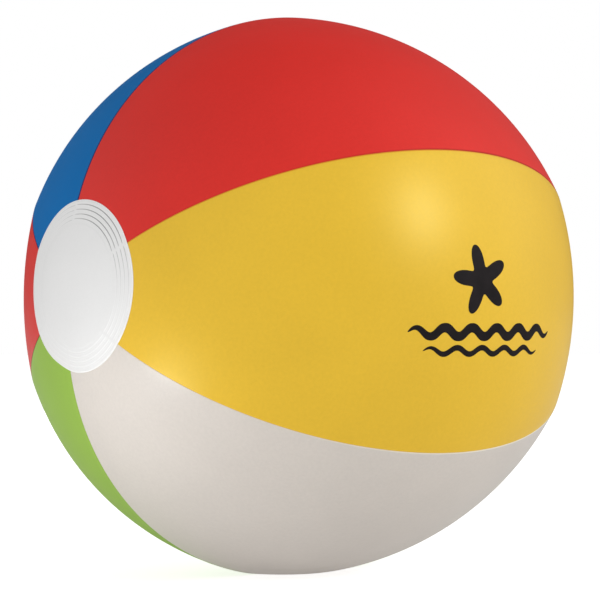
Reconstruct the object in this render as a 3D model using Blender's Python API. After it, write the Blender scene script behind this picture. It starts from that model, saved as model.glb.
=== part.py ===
"""Inflatable beach ball with six welded gores, two end discs and a recessed valve.

Metres, +Z up. The origin is the middle of the ball's box, on the floor that it
rests on. The polar axis of the gores runs along X: the plain end disc is at -X
and the disc that carries the valve is at +X. Azimuths are measured about X,
from +Y towards +Z.
"""

from math import acos, asin, atan2, cos, hypot, pi, radians, sin, sqrt

import bmesh
import bpy
from mathutils import Vector

# ---------------------------------------------------------------- ball
SEAM_RADIUS = 0.1330          # axis to seam line, at the equator
HALF_LENGTH = 0.95068         # half the length over the poles / SEAM_RADIUS
SHOULDER = 0.53809            # fullness of the shoulder along the axis
WAIST_1 = -0.54458            # how fast the gores narrow towards the poles
WAIST_2 = -0.10075
SEAM_AZIMUTHS = (151.7, 211.6, 272.5, 328.5, 393.6, 452.7)   # degrees
PANEL_TURN = radians(48.8)    # angle each inflated gore turns through, seam to seam
FILM = 0.00025                # gore film
FIN = 0.0040                  # weld flange turned into the ball along each seam
GAP = 0.0003                  # clearance left between neighbouring pieces
TIP_RADIUS = 0.0280           # the gores stop here, under the end discs
AXIS_Y = 0.0010               # polar axis to the middle of the box
AXIS_Z = 0.1313               # polar axis above the floor

# ---------------------------------------------------------------- end discs
DISC_RADIUS = 0.0395
DISC_FILM = 0.00035
WELD_DEPTH = 0.00012          # the weld die's rings pressed into the disc
WELD_RINGS = (0.776, 0.830, 0.886, 0.942)     # of DISC_RADIUS
PLAIN_DISC_OFFSET = (-0.0060, 0.0038)         # disc centre from the axis, along Y and Z
PLAIN_FLAT = 0.0100           # flat middle of the plain disc
VALVE_HOLE = 0.0095           # hole in the valve disc
VALVE_FLAT = 0.0170           # flat middle of the valve disc

# ---------------------------------------------------------------- valve, depths from the disc's face
FLANGE_RADIUS = 0.0160
FLANGE_BORE = 0.0093
FLANGE_THICK = 0.0008
STEM_RADIUS = 0.0050
STEM_BORE = 0.00325
COLLAR_RADIUS = 0.0060
MOUTH_DEPTH = 0.0012
COLLAR_DEPTH = 0.0027
BASE_RADIUS = 0.0070
BASE_DEPTH = 0.0153
STEM_END = 0.0165
SLEEVE_THICK = 0.0005
HEAD_RADIUS = 0.0060
HEAD_TOP = -0.0007
HEAD_UNDER = 0.0009
HINGE_OFFSET = 0.0080         # plug hinge above the valve's axis
HINGE_DEPTH = 0.0006
STRAP_WIDTH = 0.0040
STRAP_THICK = 0.0007
FLAP_RADIUS = 0.0046
FLAP_THICK = 0.0003


# ---------------------------------------------------------------- helpers
def clear_scene():
    for obj in list(bpy.data.objects):
        bpy.data.objects.remove(obj, do_unlink=True)


def material(name, colour, roughness, alpha=1.0):
    mat = bpy.data.materials.new(name)
    mat.use_nodes = True
    shader = mat.node_tree.nodes["Principled BSDF"]
    shader.inputs["Base Color"].default_value = (*colour, 1.0)
    shader.inputs["Roughness"].default_value = roughness
    shader.inputs["Metallic"].default_value = 0.0
    shader.inputs["Alpha"].default_value = alpha
    mat.diffuse_color = (*colour, 1.0)
    return mat


def empty(name, location, parent=None):
    obj = bpy.data.objects.new(name, None)
    obj.empty_display_size = 0.01
    obj.location = location
    obj.parent = parent
    bpy.context.scene.collection.objects.link(obj)
    return obj


def signed_volume(bm):
    total = 0.0
    for face in bm.faces:
        a = face.verts[0].co
        for i in range(1, len(face.verts) - 1):
            b, c = face.verts[i].co, face.verts[i + 1].co
            total += a.dot(b.cross(c))
    return total / 6.0


def solid(name, verts, faces, mat, parent, origin=(0.0, 0.0, 0.0), sharp=35.0):
    """A closed mesh from points in the parent's frame, with its origin moved to origin."""
    shift = Vector(origin)
    bm = bmesh.new()
    points = [bm.verts.new(Vector(v) - shift) for v in verts]
    for face in faces:
        bm.faces.new([points[i] for i in face])
    bmesh.ops.recalc_face_normals(bm, faces=bm.faces)
    if signed_volume(bm) < 0.0:
        bmesh.ops.reverse_faces(bm, faces=bm.faces)
    mesh = bpy.data.meshes.new(name)
    bm.to_mesh(mesh)
    bm.free()
    mesh.materials.append(mat)
    mesh.shade_smooth()
    mesh.set_sharp_from_angle(angle=radians(sharp))
    obj = bpy.data.objects.new(name, mesh)
    obj.parent = parent
    obj.location = shift
    bpy.context.scene.collection.objects.link(obj)
    return obj


# ---------------------------------------------------------------- ball surface
def meridian(theta):
    """Axial and radial position of the seam line at colatitude theta from the -X pole."""
    c, s = cos(theta), sin(theta)
    x = -HALF_LENGTH * c * (1.0 + SHOULDER * s * s)
    rho = s * (1.0 + WAIST_1 * c * c + WAIST_2 * c ** 4)
    return SEAM_RADIUS * x, SEAM_RADIUS * rho


def panel_span(k):
    """Middle azimuth and half width of gore k, in radians."""
    a = SEAM_AZIMUTHS[k]
    b = SEAM_AZIMUTHS[(k + 1) % 6] + (360.0 if k == 5 else 0.0)
    return radians((a + b) / 2.0), radians((b - a) / 2.0)


def bulge(half, rel):
    """Radius across a gore, 1 at its seams: one arc that turns through PANEL_TURN."""
    a = sin(half) / sin(PANEL_TURN / 2.0)
    d = a * cos(PANEL_TURN / 2.0) - cos(half)
    return -d * cos(rel) + sqrt(a * a - (d * sin(rel)) ** 2)


def shell(theta, k, rel):
    middle, half = panel_span(k)
    x, rho = meridian(theta)
    r = rho * bulge(half, rel)
    phi = middle + rel
    return Vector((x, r * cos(phi), r * sin(phi)))


def shell_normal(theta, k, rel, step=1e-4):
    along = shell(theta + step, k, rel) - shell(theta - step, k, rel)
    across = shell(theta, k, rel + step) - shell(theta, k, rel - step)
    n = across.cross(along).normalized()
    outward = shell(theta, k, rel)
    return n if n.dot(outward) > 0.0 else -n


def meridian_normal(theta, step=1e-4):
    (x0, r0), (x1, r1) = meridian(theta - step), meridian(theta + step)
    n = Vector((-(r1 - r0), x1 - x0)).normalized()
    x, r = meridian(theta)
    return n if n.x * x + n.y * r > 0.0 else -n


def theta_at(radius, gain=1.0):
    """Colatitude at which the surface, widened by gain, reaches the given radius."""
    low, high = 0.0, pi / 2.0
    for _ in range(60):
        mid = (low + high) / 2.0
        if meridian(mid)[1] * gain > radius:
            high = mid
        else:
            low = mid
    return (low + high) / 2.0


# ---------------------------------------------------------------- gores
def stations():
    start = theta_at(TIP_RADIUS)
    count = 22
    values = [start + (pi - 2.0 * start) * i / count for i in range(count + 1)]
    values += [radians(87.0), radians(93.0)]
    return sorted(values)


def columns(k):
    """Fractions across the gore, finer beside the seam that the ball rests on."""
    count = 10
    values = [-1.0 + 2.0 * i / count for i in range(count + 1)]
    if SEAM_AZIMUTHS[(k + 1) % 6] == 272.5:
        values += [0.94, 0.87, 0.70]
    if SEAM_AZIMUTHS[k] == 272.5:
        values += [-0.94, -0.87, -0.70]
    return sorted(values)


def gore(name, k, mat, parent):
    middle, half = panel_span(k)
    cols = columns(k)
    verts, rings = [], []

    def put(point, floor):
        verts.append((point.x, point.y, max(point.z, floor)))
        return len(verts) - 1

    for theta in stations():
        x, rho = meridian(theta)
        edge = half - asin(GAP / 2.0 / rho)
        inner_edge = edge - FILM / rho
        outer, inner = [], []
        for f in cols:
            outer.append(put(shell(theta, k, f * edge), -AXIS_Z))
        for f in cols:
            p = shell(theta, k, f * inner_edge)
            inner.append(put(p - FILM * shell_normal(theta, k, f * inner_edge), -AXIS_Z + FILM))
        nx, nr = meridian_normal(theta)
        tips = []
        for side in (1.0, -1.0):
            seam = middle + side * half
            inward = -Vector((nx, nr * cos(seam), nr * sin(seam)))
            away = side * Vector((0.0, sin(seam), -cos(seam)))
            root = shell(theta, k, side * edge)
            tip = root + FIN * inward
            tips.append((put(tip, -AXIS_Z), put(tip + FILM * away, -AXIS_Z)))
        rings.append((outer, inner, tips))

    faces = []

    def strip(a0, a1, b0, b1, flip):
        """Two triangles between stations, split the same way on both faces of the film."""
        if flip:
            faces.extend([(a0, a1, b0), (a1, b1, b0)])
        else:
            faces.extend([(a0, a1, b1), (a0, b1, b0)])

    last = len(cols) - 1
    for (o0, i0, t0), (o1, i1, t1) in zip(rings, rings[1:]):
        for j in range(last):
            upper = rings.index((o0, i0, t0)) < len(rings) // 2
            strip(o0[j], o0[j + 1], o1[j], o1[j + 1], upper)
            strip(i0[j], i0[j + 1], i1[j], i1[j + 1], upper)
        for side, j in ((0, last), (1, 0)):
            strip(o0[j], t0[side][0], o1[j], t1[side][0], False)
            strip(t0[side][0], t0[side][1], t1[side][0], t1[side][1], False)
            strip(t0[side][1], i0[j], t1[side][1], i1[j], False)
    for outer, inner, tips in (rings[0], rings[-1]):
        for j in range(last):
            strip(outer[j], outer[j + 1], inner[j], inner[j + 1], False)
        for side, j in ((0, last), (1, 0)):
            strip(outer[j], tips[side][0], inner[j], tips[side][1], False)
    return solid(name, verts, faces, mat, parent)


# ---------------------------------------------------------------- end discs
def cap_point(sign, y, z, lift, flat_x=None):
    """Point over the gores at (y, z), lifted off them; sign picks the pole."""
    if flat_x is not None:
        return (sign * (flat_x + lift), y, z)
    r, phi = hypot(y, z), atan2(z, y)
    for k in range(6):
        middle, half = panel_span(k)
        rel = (phi - middle + pi) % (2.0 * pi) - pi
        if abs(rel) <= half + 1e-9:
            break
    theta = theta_at(r, bulge(half, rel))
    x, rho = meridian(theta)
    nx, nr = meridian_normal(theta)
    return (sign * (-x - nx * lift), y + nr * lift * cos(phi), z + nr * lift * sin(phi))


def pole_height():
    """Furthest the gore surface reaches along the axis."""
    return max(-meridian(radians(t / 4.0))[0] for t in range(0, 140))


def end_disc(name, sign, centre, flat, hole, mat, parent):
    segments = 36
    top = pole_height()
    ridge = [(WELD_RINGS[i] + WELD_RINGS[i + 1]) / 2.0 for i in range(3)]
    outer = [(hole, 0.0), (flat, 0.0), ((flat + 0.72 * DISC_RADIUS) / 2.0, 0.0)]
    outer += [(0.721 * DISC_RADIUS, 0.0)]
    for i, w in enumerate(WELD_RINGS):
        outer.append((w * DISC_RADIUS, WELD_DEPTH))
        if i < 3:
            outer.append((ridge[i] * DISC_RADIUS, 0.0))
    outer += [(0.972 * DISC_RADIUS, 0.0), (DISC_RADIUS, DISC_FILM * 0.35)]
    inner = [(hole, 0.0), (flat, 0.0), ((flat + 0.72 * DISC_RADIUS) / 2.0, 0.0),
             (0.721 * DISC_RADIUS, 0.0), (0.86 * DISC_RADIUS, 0.0), (DISC_RADIUS, 0.0)]
    if hole is None:
        outer, inner = outer[1:], inner[1:]
    verts = []

    def ring(radius, lift):
        level = top if radius <= flat + 1e-9 else None
        start = len(verts)
        for i in range(segments):
            a = 2.0 * pi * i / segments
            verts.append(cap_point(sign, centre[0] + radius * cos(a),
                                   centre[1] + radius * sin(a), lift, level))
        return list(range(start, start + segments))

    high = [ring(r, GAP + DISC_FILM - cut) for r, cut in outer]
    low = [ring(r, GAP) for r, _ in inner]
    faces = []

    def bridge(a, b):
        for i in range(segments):
            j = (i + 1) % segments
            faces.extend([(a[i], a[j], b[j]), (a[i], b[j], b[i])])

    for rings in (high, low):
        for a, b in zip(rings, rings[1:]):
            bridge(a, b)
    bridge(high[-1], low[-1])
    if hole is None:
        faces.append(tuple(high[0]))
        faces.append(tuple(low[0]))
    else:
        bridge(high[0], low[0])
    return solid(name, verts, faces, mat, parent, sharp=60.0)


# ---------------------------------------------------------------- turned valve pieces
def turned(name, profile, segments, mat, parent, origin, sharp=35.0):
    """A closed outline of (radius, depth) points spun about the valve's axis.

    Points of zero radius become poles. The result is in the ball's frame.
    """
    face_x = pole_height() + GAP + DISC_FILM
    verts, rows = [], []
    for radius, depth in profile:
        if radius == 0.0:
            rows.append([len(verts)] * segments)
            verts.append((face_x - depth, 0.0, 0.0))
            continue
        rows.append(list(range(len(verts), len(verts) + segments)))
        for i in range(segments):
            a = 2.0 * pi * (i + 0.5) / segments
            verts.append((face_x - depth, radius * cos(a), radius * sin(a)))
    faces = []
    closed = profile[0][0] != 0.0
    pairs = list(zip(rows, rows[1:])) + ([(rows[-1], rows[0])] if closed else [])
    for a, b in pairs:
        for i in range(segments):
            j = (i + 1) % segments
            loop = []
            for v in (a[i], a[j], b[j], b[i]):
                if v not in loop:
                    loop.append(v)
            faces.append(tuple(loop))
    return solid(name, verts, faces, mat, parent, origin, sharp)


def ribbon(line, thick):
    """Closed outline of a strip of the given thickness along a line of points."""
    left, right = [], []
    for i, (a, b) in enumerate(line):
        a0, b0 = line[max(i - 1, 0)]
        a1, b1 = line[min(i + 1, len(line) - 1)]
        length = hypot(a1 - a0, b1 - b0)
        na, nb = -(b1 - b0) / length, (a1 - a0) / length
        left.append((a + na * thick / 2.0, b + nb * thick / 2.0))
        right.append((a - na * thick / 2.0, b - nb * thick / 2.0))
    return left + right[::-1]


def strap(name, mat, parent, origin):
    """Living strap: a narrow U from the stem's collar round to the plug's head."""
    face_x = pole_height() + GAP + DISC_FILM
    line = [(0.00630, 0.00205), (0.00700, 0.00205), (0.00765, 0.00198), (0.00815, 0.00168),
            (0.00842, 0.00126), (0.00845, 0.00080), (0.00825, 0.00038), (0.00780, 0.00006),
            (0.00715, -0.00005), (0.00630, -0.00005)]
    outline = ribbon(line, STRAP_THICK)
    verts = []
    for y in (-STRAP_WIDTH / 2.0, STRAP_WIDTH / 2.0):
        verts += [(face_x - depth, y, radius) for radius, depth in outline]
    n, m = len(outline), len(line)
    faces = [(i, (i + 1) % n, n + (i + 1) % n, n + i) for i in range(n)]
    for base in (0, n):
        for i in range(m - 1):
            faces.append((base + i, base + i + 1, base + n - 2 - i, base + n - 1 - i))
    return solid(name, verts, faces, mat, parent, origin)


def pull_tab(parent, origin):
    """Form added to the plug's head: a thumb tab on the side away from the strap."""
    face_x = pole_height() + GAP + DISC_FILM
    shift = Vector(origin)
    outline = [(-0.0019, -0.0050), (-0.0019, -0.0072), (-0.0013, -0.0081), (0.0, -0.0085),
               (0.0013, -0.0081), (0.0019, -0.0072), (0.0019, -0.0050)]
    bm = bmesh.new()
    low = [bm.verts.new(Vector((face_x - HEAD_TOP - 0.0010, y, z)) - shift) for y, z in outline]
    face = bm.faces.new(low)
    grown = bmesh.ops.extrude_face_region(bm, geom=[face])
    top = [v for v in grown["geom"] if isinstance(v, bmesh.types.BMVert)]
    bmesh.ops.translate(bm, verts=top, vec=(0.0008, 0.0, 0.0))
    bmesh.ops.recalc_face_normals(bm, faces=bm.faces)
    mesh = bpy.data.meshes.new("plug_tab_form")
    bm.to_mesh(mesh)
    bm.free()
    obj = bpy.data.objects.new("plug_tab_form", mesh)
    obj.parent = parent
    obj.location = shift
    obj.hide_render = True
    obj.display_type = "WIRE"
    bpy.context.scene.collection.objects.link(obj)
    return obj


# ---------------------------------------------------------------- assembly
def main():
    clear_scene()
    red = material("film_red", (0.60, 0.042, 0.036), 0.34)
    red_rear = material("film_red_rear", (0.60, 0.042, 0.036), 0.34)
    yellow = material("film_yellow", (0.77, 0.49, 0.058), 0.34)
    white = material("film_white", (0.58, 0.54, 0.51), 0.36)
    green = material("film_green", (0.30, 0.47, 0.10), 0.34)
    blue = material("film_blue", (0.010, 0.125, 0.36), 0.34)
    disc_plain = material("film_disc_plain", (0.72, 0.72, 0.71), 0.38)
    disc_valve = material("film_disc_valve", (0.72, 0.72, 0.71), 0.38)
    valve_soft = material("vinyl_valve", (0.78, 0.79, 0.78), 0.30)
    valve_ring = material("vinyl_flange", (0.78, 0.79, 0.78), 0.32)
    valve_root = material("vinyl_root_sleeve", (0.78, 0.79, 0.78), 0.32)
    valve_strap = material("vinyl_strap", (0.78, 0.79, 0.78), 0.32)
    valve_plug = material("vinyl_plug", (0.78, 0.79, 0.78), 0.30)
    flap = material("vinyl_flap", (0.80, 0.81, 0.80), 0.28)

    ball = empty("ball_centre", (0.0, AXIS_Y, AXIS_Z))
    names = (("panel_yellow", yellow), ("panel_white", white), ("panel_green", green),
             ("panel_red_rear", red_rear), ("panel_blue", blue), ("panel_red_upper", red))
    for k, (name, mat) in enumerate(names):
        gore(name, k, mat, ball)

    end_disc("end_disc_plain", -1.0, PLAIN_DISC_OFFSET, PLAIN_FLAT, None, disc_plain, ball)
    end_disc("end_disc_valve", 1.0, (0.0, 0.0), VALVE_FLAT, VALVE_HOLE, disc_valve, ball)

    face_x = pole_height() + GAP + DISC_FILM
    under = DISC_FILM + GAP
    turned("valve_flange",
           [(FLANGE_BORE, under), (FLANGE_RADIUS - 0.0003, under), (FLANGE_RADIUS, under + 0.0003),
            (FLANGE_RADIUS, under + FLANGE_THICK), (FLANGE_BORE, under + FLANGE_THICK)],
           32, valve_ring, ball, (face_x - under, 0.0, 0.0))
    sleeve = [(0.0102, 0.0020), (0.0095, 0.00215), (0.0089, 0.0030), (0.0085, 0.0062),
              (0.0081, 0.0102), (0.0077, 0.0131), (0.0070, 0.0144), (0.0059, 0.01475)]
    turned("valve_root_sleeve", ribbon(sleeve, SLEEVE_THICK), 28, valve_root, ball,
           (face_x - 0.0020, 0.0, 0.0))

    slide = empty("valve_slide", (face_x - MOUTH_DEPTH, 0.0, 0.0), ball)
    origin = Vector((face_x - MOUTH_DEPTH, 0.0, 0.0))
    stem = turned("valve_stem",
                  [(STEM_BORE, MOUTH_DEPTH), (COLLAR_RADIUS - 0.0004, MOUTH_DEPTH),
                   (COLLAR_RADIUS, MOUTH_DEPTH + 0.0004), (COLLAR_RADIUS, COLLAR_DEPTH - 0.0002),
                   (STEM_RADIUS, COLLAR_DEPTH + 0.0004), (STEM_RADIUS, BASE_DEPTH - 0.0006),
                   (STEM_RADIUS + 0.0006, BASE_DEPTH), (BASE_RADIUS, BASE_DEPTH),
                   (BASE_RADIUS, STEM_END), (STEM_BORE, STEM_END)],
                  24, valve_soft, ball, origin)
    stem.parent = slide
    stem.location = (0.0, 0.0, 0.0)

    hinge_at = Vector((face_x - HINGE_DEPTH, 0.0, HINGE_OFFSET))
    hinge = empty("plug_hinge", hinge_at - origin, slide)
    plug = turned("valve_plug",
                  [(0.0, HEAD_TOP + 0.0002), (0.0030, HEAD_TOP), (HEAD_RADIUS - 0.0005, HEAD_TOP),
                   (HEAD_RADIUS, HEAD_TOP + 0.0005), (HEAD_RADIUS, HEAD_UNDER - 0.0003),
                   (HEAD_RADIUS - 0.0003, HEAD_UNDER), (0.00295, HEAD_UNDER), (0.00295, 0.0016),
                   (0.00285, 0.0026), (0.00265, 0.0036), (0.00235, 0.0046), (0.00200, 0.0053),
                   (0.00140, 0.0056), (0.0, 0.0057)],
                  24, valve_plug, ball, hinge_at)
    plug.parent = hinge
    plug.location = (0.0, 0.0, 0.0)
    tab = pull_tab(ball, hinge_at)
    tab.parent = hinge
    tab.location = (0.0, 0.0, 0.0)
    union = plug.modifiers.new("thumb_tab", "BOOLEAN")
    union.operation = "UNION"
    union.solver = "EXACT"
    union.object = tab

    band = strap("valve_strap", valve_strap, ball, hinge_at)
    band.parent = hinge
    band.location = (0.0, 0.0, 0.0)

    flap_depth = STEM_END + GAP
    flap_at = Vector((face_x - flap_depth - FLAP_THICK / 2.0, 0.0, FLAP_RADIUS))
    flap_hinge = empty("flap_hinge", flap_at - origin, slide)
    door = turned("check_flap",
                  [(0.0, flap_depth), (FLAP_RADIUS - 0.0001, flap_depth),
                   (FLAP_RADIUS, flap_depth + FLAP_THICK / 2.0),
                   (FLAP_RADIUS - 0.0001, flap_depth + FLAP_THICK), (0.0, flap_depth + FLAP_THICK)],
                  24, flap, ball, flap_at)
    door.parent = flap_hinge
    door.location = (0.0, 0.0, 0.0)
    bpy.context.view_layer.update()


main()
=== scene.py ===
"""Looks of the inflatable beach ball: fine film gores, welded end discs, valve, print, light and camera."""
from math import cos, degrees, hypot, pi, radians, sin, sqrt, tan

import bmesh
import bpy
import numpy as np
from mathutils import Matrix, Vector
from mathutils.geometry import delaunay_2d_cdt


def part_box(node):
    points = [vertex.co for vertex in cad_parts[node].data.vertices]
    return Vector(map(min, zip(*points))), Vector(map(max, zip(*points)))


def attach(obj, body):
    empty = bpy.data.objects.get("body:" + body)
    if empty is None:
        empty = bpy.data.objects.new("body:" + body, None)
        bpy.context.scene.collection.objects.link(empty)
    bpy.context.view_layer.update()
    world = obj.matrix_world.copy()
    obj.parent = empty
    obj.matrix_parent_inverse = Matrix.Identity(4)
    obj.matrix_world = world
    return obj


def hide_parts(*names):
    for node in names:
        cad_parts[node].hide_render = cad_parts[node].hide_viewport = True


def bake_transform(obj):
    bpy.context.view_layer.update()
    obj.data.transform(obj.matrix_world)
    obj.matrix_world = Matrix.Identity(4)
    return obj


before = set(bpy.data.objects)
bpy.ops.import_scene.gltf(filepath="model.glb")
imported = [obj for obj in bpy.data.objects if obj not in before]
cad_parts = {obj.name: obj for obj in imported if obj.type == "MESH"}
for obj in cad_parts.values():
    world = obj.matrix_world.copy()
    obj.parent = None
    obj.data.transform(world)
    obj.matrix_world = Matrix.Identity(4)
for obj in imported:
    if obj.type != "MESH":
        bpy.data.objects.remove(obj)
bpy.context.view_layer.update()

# ---------------------------------------------------------------- the ball's own measures, in metres
RE = 0.1330
HALF_LENGTH, SHOULDER, WAIST_1, WAIST_2 = 0.95068, 0.53809, -0.54458, -0.10075
SEAMS = (151.7, 211.6, 272.5, 328.5, 393.6, 452.7)
TURN = radians(48.8)
FILM = 0.00018
FIN = 0.0040
TIP = 0.0280
DISC_R = 0.0395
DISC_FILM = 0.00035
CAD_GAP = 0.0003
CENTRE = np.array((0.0, 0.0010, 0.1313))
FLOOR = -CENTRE[2]
PLAIN_AT = (-0.0060, 0.0038)
ROLL = 0.00022          # radius at which a gore turns into its seam
SEAM_HALF_GAP = 0.00002


# ---------------------------------------------------------------- surface
def meridian(t):
    c, s = np.cos(t), np.sin(t)
    return -RE * HALF_LENGTH * c * (1 + SHOULDER * s * s), RE * s * (1 + WAIST_1 * c * c + WAIST_2 * c ** 4)


def meridian_normal(t, e=1e-4):
    x0, r0 = meridian(t - e)
    x1, r1 = meridian(t + e)
    nx, nr = -(r1 - r0), x1 - x0
    ln = np.hypot(nx, nr)
    nx, nr = nx / ln, nr / ln
    x, r = meridian(t)
    s = np.sign(nx * x + nr * r)
    return nx * s, nr * s


def span(k):
    a, b = SEAMS[k], SEAMS[(k + 1) % 6] + (360.0 if k == 5 else 0.0)
    return radians((a + b) / 2), radians((b - a) / 2)


def bulge(half, rel):
    a = sin(half) / sin(TURN / 2)
    d = a * cos(TURN / 2) - cos(half)
    return -d * np.cos(rel) + np.sqrt(a * a - (d * np.sin(rel)) ** 2)


def shell(t, k, rel):
    mid, half = span(k)
    x, rho = meridian(t)
    r = rho * bulge(half, rel)
    return np.stack(np.broadcast_arrays(x, r * np.cos(mid + rel), r * np.sin(mid + rel)), -1)


def unit(v):
    return v / np.linalg.norm(v, axis=-1, keepdims=True)


def shell_frame(t, k, rel, e=1e-4):
    across = shell(t, k, rel + e) - shell(t, k, rel - e)
    along = shell(t + e, k, rel) - shell(t - e, k, rel)
    n = unit(np.cross(across, along))
    p = shell(t, k, rel)
    n *= np.sign((n * p).sum(-1))[..., None]
    u = unit(across)
    return p, n, u


def theta_at(radius):
    """Colatitude where the seam line reaches a radius from the axis."""
    radius = np.asarray(radius, float)
    lo, hi = np.zeros_like(radius), np.full_like(radius, pi / 2)
    for _ in range(50):
        mid = (lo + hi) / 2
        big = meridian(mid)[1] > radius
        hi, lo = np.where(big, mid, hi), np.where(big, lo, mid)
    return (lo + hi) / 2


def soft_floor(p, level, k=0.0004):
    """Flattens the underside where it rests, with a small rounded edge."""
    z = p[..., 2]
    d = z - level
    p[..., 2] = level + np.where(d > 6 * k, d, k * np.log1p(np.exp(np.minimum(d, 6 * k) / k)) * (d > -8 * k))
    return p


def ripple(s, d, seed):
    """Faint gathers beside a weld: s along it, d away from it, in metres."""
    w1 = np.sin(2 * pi * s / 0.0083 + 1.7 * seed) * np.sin(2 * pi * s / 0.031 + seed)
    w2 = np.sin(2 * pi * s / 0.0137 + 0.9 * seed + 1.1)
    return 0.000022 * (w1 + 0.6 * w2) * np.exp(-(d / 0.0055) ** 2) * (1 - np.exp(-(d / 0.0008) ** 2))


# ---------------------------------------------------------------- mesh helpers
def mesh_object(name, verts, faces, smooth_angle=40.0, attributes=None):
    me = bpy.data.meshes.new(name)
    verts = np.asarray(verts, dtype=np.float64)
    faces = [f for f in faces]
    me.from_pydata([tuple(v) for v in verts], [], faces)
    me.validate()
    if attributes:
        for key, values in attributes.items():
            at = me.attributes.new(key, "FLOAT", "POINT")
            at.data.foreach_set("value", np.asarray(values, np.float32))
    me.update()
    ob = bpy.data.objects.new(name, me)
    bpy.context.scene.collection.objects.link(ob)
    me.shade_smooth()
    if smooth_angle:
        me.set_sharp_from_angle(angle=radians(smooth_angle))
    return ob


def orient(ob):
    """Turns the faces of a closed mesh outwards."""
    bm = bmesh.new()
    bm.from_mesh(ob.data)
    bmesh.ops.recalc_face_normals(bm, faces=bm.faces)
    vol = bm.calc_volume(signed=True)
    if vol < 0:
        bmesh.ops.reverse_faces(bm, faces=bm.faces)
    bm.to_mesh(ob.data)
    bm.free()
    return ob


def grid_faces(rows, cols, closed_rows=False, closed_cols=False, offset=0):
    r = np.arange(rows - (0 if closed_rows else 1))
    c = np.arange(cols - (0 if closed_cols else 1))
    R, C = np.meshgrid(r, c, indexing="ij")
    R2, C2 = (R + 1) % rows, (C + 1) % cols
    q = np.stack([R * cols + C, R * cols + C2, R2 * cols + C2, R2 * cols + C], -1).reshape(-1, 4) + offset
    return [tuple(int(i) for i in f) for f in q]


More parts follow.
